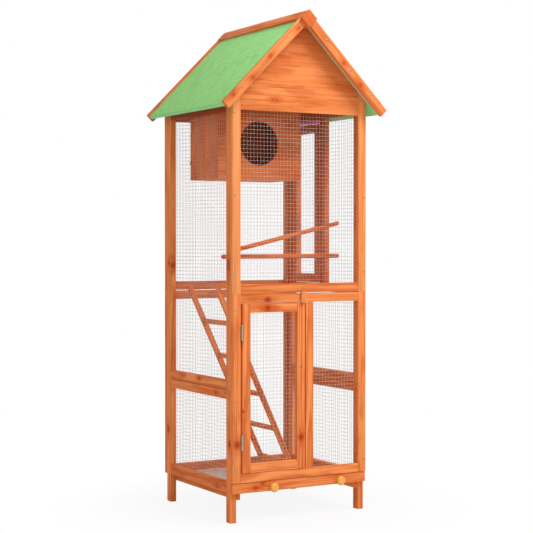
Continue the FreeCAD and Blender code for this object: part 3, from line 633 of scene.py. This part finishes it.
def pieceName(node):
    first, *rest = node.split("_")
    return first + "".join(word.capitalize() for word in rest)


def newPiece(mesh, node):
    # the mesh takes the place of its CAD node, on the same body and with the same slot
    piece = bpy.data.objects.new(pieceName(node), mesh)
    scene.collection.objects.link(piece)
    if not mesh.materials:
        mesh.materials.append(paints[slotOf[node]])
    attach(piece, bodyOf[node])
    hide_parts(node)


def setVectors(mesh, title, values):
    layer = mesh.attributes.new(title, "FLOAT_VECTOR", "POINT")
    layer.data.foreach_set("vector", [part for value in values for part in value])


def setSmooth(mesh, angle):
    mesh.polygons.foreach_set("use_smooth", [True] * len(mesh.polygons))
    mesh.set_sharp_from_angle(angle=math.radians(angle))


def dressSolids(node, bevelWidth, smoothAngle):
    # a finished copy of a CAD node: eased edges, and grain coordinates where it is wood
    withGrain = slotOf[node] == "frame_wood"
    vertices, faces, grains, looks, ends = [], [], [], [], []
    knotLists = [[] for title in knotLayers]
    for number, (solid, placeOf) in enumerate(readSolids(node)):
        body = mergedSolid(solid, placeOf, bevelWidth)
        start = len(vertices)
        body.verts.index_update()
        vertices += [vertex.co.copy() for vertex in body.verts]
        faces += [[start + vertex.index for vertex in face.verts] for face in body.faces]
        if withGrain:
            grain, look, knots, endShares = markGrain(body, node, number)
            grains += grain
            looks += [look] * len(grain)
            ends += endShares
            for knotList, knot in zip(knotLists, knots):
                knotList += [knot] * len(grain)
        body.free()
    mesh = bpy.data.meshes.new(pieceName(node))
    mesh.from_pydata(vertices, [], faces)
    if withGrain:
        for title, values in (*zip(knotLayers, knotLists), ("grain", grains), ("stickLook", looks)):
            setVectors(mesh, title, values)
        mesh.attributes.new("endGrain", "FLOAT", "FACE").data.foreach_set("value", ends)
    setSmooth(mesh, smoothAngle)
    newPiece(mesh, node)


# how wide the eased edges of a piece are, and below which angle in degrees its faces shade smoothly
stickFinish = (0.0009, 20)
otherFinishes = {
    "left_roof_board": (0.0009, 20),
    "right_roof_board": (0.0009, 20),
    "roof_felt": (0.0008, 20),
    "side_door_top_strip": (0.0003, 20),
    "tray": (0.0003, 20),
    "drawer_knobs": (0, 40),
    "frame_hinge_leaves": (0, 35),
    "front_door_hinge_leaves": (0, 35),
    "side_door_hinge_leaves": (0, 35),
    "hinge_pins": (0, 35),
}

woodNodes = [node for node in sorted(nodes) if slotOf[node] == "frame_wood"]
for node in woodNodes:
    dressSolids(node, *stickFinish)
print("wood dressed:", len(woodNodes), "nodes")

for node, finish in otherFinishes.items():
    dressSolids(node, *finish)
print("roof, tray, knobs and hinges dressed:", len(otherFinishes), "nodes")


def newTree(name, inputs):
    # a Geometry Nodes tree with named inputs; returns its graph and a flow for each input
    tree = bpy.data.node_groups.new(name, "GeometryNodeTree")
    tree.interface.new_socket("Geometry", in_out="OUTPUT", socket_type="NodeSocketGeometry")
    tree.interface.new_socket("Geometry", in_out="INPUT", socket_type="NodeSocketGeometry")
    graph = Graph(tree)
    for title, kind in inputs.items():
        tree.interface.new_socket(title, in_out="INPUT", socket_type=kind)
    entry = tree.nodes.new("NodeGroupInput")
    flows = {socket.name: Flow(graph, socket) for socket in entry.outputs if socket.name}
    return graph, flows


def endTree(graph, geometry, material):
    realized = graph.node("GeometryNodeRealizeInstances", {}, {"Geometry": geometry})
    smooth = graph.node("GeometryNodeSetShadeSmooth", {}, {"Geometry": realized})
    painted = graph.node("GeometryNodeSetMaterial", {}, {"Geometry": smooth, "Material": material})
    graph.node("NodeGroupOutput", {}, {0: painted})


def joinFlows(graph, flows):
    whole = graph.tree.nodes.new("GeometryNodeJoinGeometry")
    for flow in flows:
        graph.tree.links.new(flow.socket, whole.inputs[0])
    return Flow(graph, whole.outputs[0])


def runTree(graph, mesh, values):
    # the tree's result on a mesh, as a plain mesh
    holder = bpy.data.objects.new("holder", mesh)
    scene.collection.objects.link(holder)
    modifier = holder.modifiers.new("nodes", "NODES")
    modifier.node_group = graph.tree
    for item in graph.tree.interface.items_tree:
        if item.in_out == "INPUT" and item.name in values:
            modifier[item.identifier] = values[item.name]
    depsgraph = bpy.context.evaluated_depsgraph_get()
    result = bpy.data.meshes.new_from_object(holder.evaluated_get(depsgraph), preserve_all_data_layers=True,
                                             depsgraph=depsgraph)
    bpy.data.objects.remove(holder)
    return result


weldedNet = {
    "pitch": 0.0127,
    "wireRadius": 0.00036,
    "layerStep": 0.00028,
    "weldRadius": 0.00055,
    "wireCorners": 6,
    "sway": 0.0005,
    "swayScale": 5.0,
    "swayShape": (1.0, 1.0, 0.06),
    "bends": 14,
    "restShare": 0.2,
}


def makeNetTree():
    # two layers of wires across a rectangle, both moved by one slow noise, with a weld at each crossing
    graph, given = newTree("weldedNet", {
        "Width": "NodeSocketFloat", "Height": "NodeSocketFloat", "Pitch": "NodeSocketFloat",
        "Wire Radius": "NodeSocketFloat", "Layer Step": "NodeSocketFloat", "Weld Radius": "NodeSocketFloat",
        "Sway": "NodeSocketFloat", "Bends": "NodeSocketInt", "Seed": "NodeSocketFloat",
        "Material": "NodeSocketMaterial"})
    width, height, pitch = given["Width"], given["Height"], given["Pitch"]
    columns = width.math("FLOOR", width / pitch - weldedNet["restShare"]) + 1
    rows = height.math("FLOOR", height / pitch - weldedNet["restShare"]) + 1
    spread = (columns - 1) * pitch
    rise = (rows - 1) * pitch

    position = graph.node("GeometryNodeInputPosition")
    drift = graph.node("ShaderNodeTexNoise", {"noise_dimensions": "4D"},
                       {"Vector": position, "W": given["Seed"], "Scale": weldedNet["swayScale"],
                        "Detail": 1.0}, 1)
    centred = drift.shifted((-0.5, -0.5, -0.5)).scaled(weldedNet["swayShape"])
    shift = graph.node("ShaderNodeVectorMath", {"operation": "SCALE"}, {0: centred, 3: given["Sway"]})

    def wires(count, step, first, half):
        # count lines beside each other, step apart, each reaching half to both sides
        line = graph.node("GeometryNodeCurvePrimitiveLine", {},
                          {"Start": half[0], "End": half[1]})
        line = graph.node("GeometryNodeResampleCurve", {}, {"Curve": line, "Count": given["Bends"]})
        points = graph.node("GeometryNodeMeshLine", {"mode": "OFFSET"},
                            {"Count": count, "Start Location": first, "Offset": step})
        return graph.node("GeometryNodeInstanceOnPoints", {}, {"Points": points, "Instance": line})

    layer = given["Layer Step"]
    upright = wires(columns, graph.joined(pitch, 0.0, 0.0), graph.joined(spread * -0.5, 0.0, layer),
                    (graph.joined(0.0, height * -0.5, 0.0), graph.joined(0.0, height * 0.5, 0.0)))
    level = wires(rows, graph.joined(0.0, pitch, 0.0), graph.joined(0.0, rise * -0.5, layer * -1),
                  (graph.joined(width * -0.5, 0.0, 0.0), graph.joined(width * 0.5, 0.0, 0.0)))
    lines = graph.node("GeometryNodeRealizeInstances", {}, {"Geometry": joinFlows(graph, (upright, level))})
    lines = graph.node("GeometryNodeSetPosition", {}, {"Geometry": lines, "Offset": shift})
    section = graph.node("GeometryNodeCurvePrimitiveCircle", {},
                         {"Resolution": weldedNet["wireCorners"], "Radius": given["Wire Radius"]})
    tubes = graph.node("GeometryNodeCurveToMesh", {},
                       {"Curve": lines, "Profile Curve": section, "Fill Caps": True})

    crossings = graph.node("GeometryNodeMeshGrid", {}, {"Size X": spread, "Size Y": rise,
                                                        "Vertices X": columns, "Vertices Y": rows})
    crossings = graph.node("GeometryNodeSetPosition", {}, {"Geometry": crossings, "Offset": shift})
    weld = graph.node("GeometryNodeMeshIcoSphere", {}, {"Radius": given["Weld Radius"], "Subdivisions": 1})
    welds = graph.node("GeometryNodeInstanceOnPoints", {}, {"Points": crossings, "Instance": weld})

    endTree(graph, joinFlows(graph, (tubes, welds)), given["Material"])
    return graph


netTree = makeNetTree()


def makeNet(node, seed):
    # each flat sheet of the CAD node becomes a real welded net of the same size and place
    joined = bmesh.new()
    for number, (faces, placeOf) in enumerate(readSolids(node)):
        low, high = solidBox(faces, placeOf)
        size = high - low
        across = 1 if size.x < size.y else 0
        mesh = runTree(netTree, bpy.data.meshes.new("empty"), {
            "Width": size[across], "Height": size.z, "Pitch": weldedNet["pitch"],
            "Wire Radius": weldedNet["wireRadius"], "Layer Step": weldedNet["layerStep"],
            "Weld Radius": weldedNet["weldRadius"], "Sway": weldedNet["sway"],
            "Bends": weldedNet["bends"], "Seed": float(seed + number), "Material": paints["wire_mesh"]})
        rightward = Vector((0, 1, 0)) if across else Vector((1, 0, 0))
        upward = Vector((0, 0, 1))
        outward = rightward.cross(upward)
        turn = Matrix((rightward, upward, outward)).transposed().to_4x4()
        mesh.transform(Matrix.Translation((low + high) / 2) @ turn)
        joined.from_mesh(mesh)
    whole = bpy.data.meshes.new(pieceName(node))
    joined.to_mesh(whole)
    joined.free()
    newPiece(whole, node)
    return len(whole.polygons)


# no node has more than three sheets, so seeds three apart never meet
netNodes = [node for node in sorted(nodes) if slotOf[node] == "wire_mesh"]
netFaces = [makeNet(node, 3 * place) for place, node in enumerate(netNodes)]
print("nets made:", dict(zip(netNodes, netFaces)))


# in millimetres; rings and shaft are radius and level, from the bottom up
crossHead = {
    "corners": 12,
    "rings": ((3.3, 0.0), (3.3, 0.35), (2.9, 0.85), (2.1, 1.2)),
    "pivotShaft": ((1.75, -8.6), (1.75, 0.0)),
    "armLength": 1.55,
    "armHalfWidth": 0.42,
    "pitDepth": 0.9,
    "pitTaper": 0.8,
    "smoothAngle": 32,
}
headHeight = crossHead["rings"][-1][1] / 1000


def makeHead(title, below=()):
    # a round screw head with a cross slot; below are the rings of what is under it
    look = crossHead
    corners = look["corners"]
    head = bmesh.new()
    angles = [math.radians(360 / corners * (step - 0.5)) for step in range(corners)]
    rings = [[head.verts.new((radius * math.cos(angle), radius * math.sin(angle), level)) for angle in angles]
             for radius, level in (*below, *look["rings"])]
    arm, half = look["armLength"], look["armHalfWidth"]
    quarter = ((arm, -half), (arm, half), (half, half))
    outline = []
    for step in range(4):
        turn = Matrix.Rotation(math.radians(90 * step), 2)
        outline += [turn @ Vector(corner) for corner in quarter]
    top = look["rings"][-1][1]
    for taper, level in ((1, top), (look["pitTaper"], top - look["pitDepth"])):
        rings.append([head.verts.new((point.x * taper, point.y * taper, level)) for point in outline])
    for outer, inner in zip(rings, rings[1:]):
        for step in range(corners):
            after = (step + 1) % corners
            head.faces.new((outer[step], outer[after], inner[after], inner[step]))
    head.faces.new(rings[-1])
    head.faces.new(rings[0][::-1])
    for vertex in head.verts:
        vertex.co /= 1000
    mesh = bpy.data.meshes.new(title)
    head.to_mesh(mesh)
    head.free()
    return mesh


washer = {"radius": 0.0065, "bore": 0.0024, "thickness": 0.001, "easedShare": 0.3, "corners": 20}


def addWasher(mesh):
    # a flat ring with an eased rim under the head, in metres
    radius, bore, thickness = washer["radius"], washer["bore"], washer["thickness"]
    eased = thickness * washer["easedShare"]
    profile = ((bore, -thickness), (radius, -thickness), (radius, -eased), (radius - eased, 0), (bore, 0))
    angles = [2 * math.pi * step / washer["corners"] for step in range(washer["corners"])]
    ring = bmesh.new()
    loops = [[ring.verts.new((reach * math.cos(angle), reach * math.sin(angle), level)) for angle in angles]
             for reach, level in profile]
    for here, there in zip(loops, loops[1:] + loops[:1]):
        for step in range(len(angles)):
            after = (step + 1) % len(angles)
            ring.faces.new((here[step], here[after], there[after], there[step]))
    bmesh.ops.recalc_face_normals(ring, faces=ring.faces[:])
    ring.from_mesh(mesh)
    ring.to_mesh(mesh)
    ring.free()


def makeScrewTree():
    # a head on each point, its top along the point's facing and its slot turned at random
    graph, given = newTree("screwRow", {"Head": "NodeSocketObject", "Seed": "NodeSocketInt",
                                        "Material": "NodeSocketMaterial"})
    facing = graph.node("GeometryNodeInputNamedAttribute", {"data_type": "FLOAT_VECTOR"}, {"Name": "facing"})
    upright = graph.node("FunctionNodeAlignRotationToVector", {"axis": "Z"}, {"Vector": facing})
    spin = graph.node("FunctionNodeRandomValue", {"data_type": "FLOAT"},
                      {2: 0.0, 3: math.pi / 2, "Seed": given["Seed"]}, 1)
    slotTurn = graph.node("FunctionNodeAxisAngleToRotation", {}, {"Axis": (0, 0, 1), "Angle": spin})
    turned = graph.node("FunctionNodeRotateRotation", {"rotation_space": "LOCAL"},
                        {"Rotation": upright, "Rotate By": slotTurn})
    head = graph.node("GeometryNodeObjectInfo", {}, {"Object": given["Head"], "As Instance": True},
                      "Geometry")
    rows = graph.node("GeometryNodeInstanceOnPoints", {},
                      {"Points": given["Geometry"], "Instance": head, "Rotation": turned})
    endTree(graph, rows, given["Material"])
    return graph


screwTree = makeScrewTree()


def screwSeats(node, below):
    # where each CAD screw's head stands, and which way it looks: outwards from the cage's middle line
    seats, facings = [], []
    for faces, placeOf in readSolids(node):
        low, high = solidBox(faces, placeOf)
        size, middle = high - low, (low + high) / 2
        axis = min((0, 1), key=lambda side: abs(size[side] - below - headHeight))
        facing = Vector((0, 0, 0))
        facing[axis] = math.copysign(1, middle[axis])
        top = middle + facing * size[axis] / 2
        seats.append(top - facing * headHeight)
        facings.append(facing)
    mesh = bpy.data.meshes.new("points")
    mesh.from_pydata(seats, [], [])
    setVectors(mesh, "facing", facings)
    return mesh


def makeScrews(node, head, below, seed, stain):
    # below is how far the screw's solid reaches under its head, in metres; stain is 0 or 1
    holder = bpy.data.objects.new(head.name, head)
    mesh = runTree(screwTree, screwSeats(node, below),
                   {"Head": holder, "Seed": seed, "Material": paints["screw_steel"]})
    bpy.data.objects.remove(holder)
    mesh.name = pieceName(node)
    mesh.attributes.new("stain", "FLOAT", "POINT").data.foreach_set("value", [stain] * len(mesh.vertices))
    setSmooth(mesh, crossHead["smoothAngle"])
    newPiece(mesh, node)
    return len(mesh.polygons)


plainHead = makeHead("plainHead")
washerHead = makeHead("washerHead")
addWasher(washerHead)
pivotHead = makeHead("pivotHead", crossHead["pivotShaft"])
screwFaces = [
    makeScrews("frame_screws", plainHead, 0, 1, 0),
    makeScrews("mesh_screws", washerHead, washer["thickness"], 2, 1),
    makeScrews("turn_button_screws", pivotHead, -crossHead["pivotShaft"][0][1] / 1000, 3, 0),
]
print("screws made:", screwFaces)


lights = {
    "skyColor": (1.0, 0.86, 0.78),
    "skyStrength": 0.68,
    "keyPlace": (1.5, -2.8, 4.7),
    "keyAim": (0, 0, 0.8),
    "keySize": 2.4,
    "keyPower": 171,
}


def lightScene():
    world = bpy.data.worlds.new("studio")
    scene.world = world
    world.use_nodes = True
    world.node_tree.nodes.clear()
    sky = Graph(world.node_tree)
    seen = sky.node("ShaderNodeLightPath", {}, {}, "Is Camera Ray")
    soft = sky.node("ShaderNodeBackground", {},
                    {"Color": (*lights["skyColor"], 1), "Strength": lights["skyStrength"]})
    white = sky.node("ShaderNodeBackground", {}, {"Color": (1, 1, 1, 1), "Strength": 1.0})
    light = sky.node("ShaderNodeMixShader", {}, {0: seen, 1: soft, 2: white})
    sky.node("ShaderNodeOutputWorld", {}, {"Surface": light})

    lamp = bpy.data.lights.new("keyLight", "AREA")
    lamp.shape = "DISK"
    lamp.size = lights["keySize"]
    lamp.energy = lights["keyPower"]
    holder = bpy.data.objects.new("keyLight", lamp)
    holder.location = lights["keyPlace"]
    aim = Vector(lights["keyAim"]) - Vector(lights["keyPlace"])
    holder.rotation_euler = aim.to_track_quat("-Z", "Y").to_euler()
    scene.collection.objects.link(holder)


paleFloor = {
    "reach": 6.0,
    "color": (0.76, 0.75, 0.74),
    "shade": (0.74, 0.73, 0.72),
    "fadeStart": 0.30,
    "fadeEnd": 0.80,
    "veil": 0.90,
}


def makeFloor():
    # a pale sheet that keeps the contact shadow and fades to white away from the object
    material, paint = newPaint("paleFloor")
    place = paint.place()
    away = place.distanceTo((0, 0, 0)).between(paleFloor["fadeStart"], paleFloor["fadeEnd"])
    seen = paint.node("ShaderNodeLightPath", {}, {}, "Is Camera Ray")
    grain = paint.noise(place, 40, 2)
    color = paint.blend(grain, paleFloor["color"], paleFloor["shade"])
    matt = paint.node("ShaderNodeBsdfDiffuse", {}, {"Color": color})
    white = paint.node("ShaderNodeEmission", {}, {"Color": (1, 1, 1, 1), "Strength": 1.0})
    veil = (away * (1 - paleFloor["veil"]) + paleFloor["veil"]) * seen
    surface = paint.node("ShaderNodeMixShader", {}, {0: veil, 1: matt, 2: white})
    paint.node("ShaderNodeOutputMaterial", {}, {"Surface": surface})
    reach = paleFloor["reach"]
    mesh = bpy.data.meshes.new("paleFloor")
    mesh.from_pydata([(-reach, -reach, 0), (reach, -reach, 0), (reach, reach, 0), (-reach, reach, 0)], [],
                     [(0, 1, 2, 3)])
    mesh.materials.append(material)
    floor = bpy.data.objects.new("paleFloor", mesh)
    scene.collection.objects.link(floor)


lightScene()
makeFloor()
print("floor and lights set")
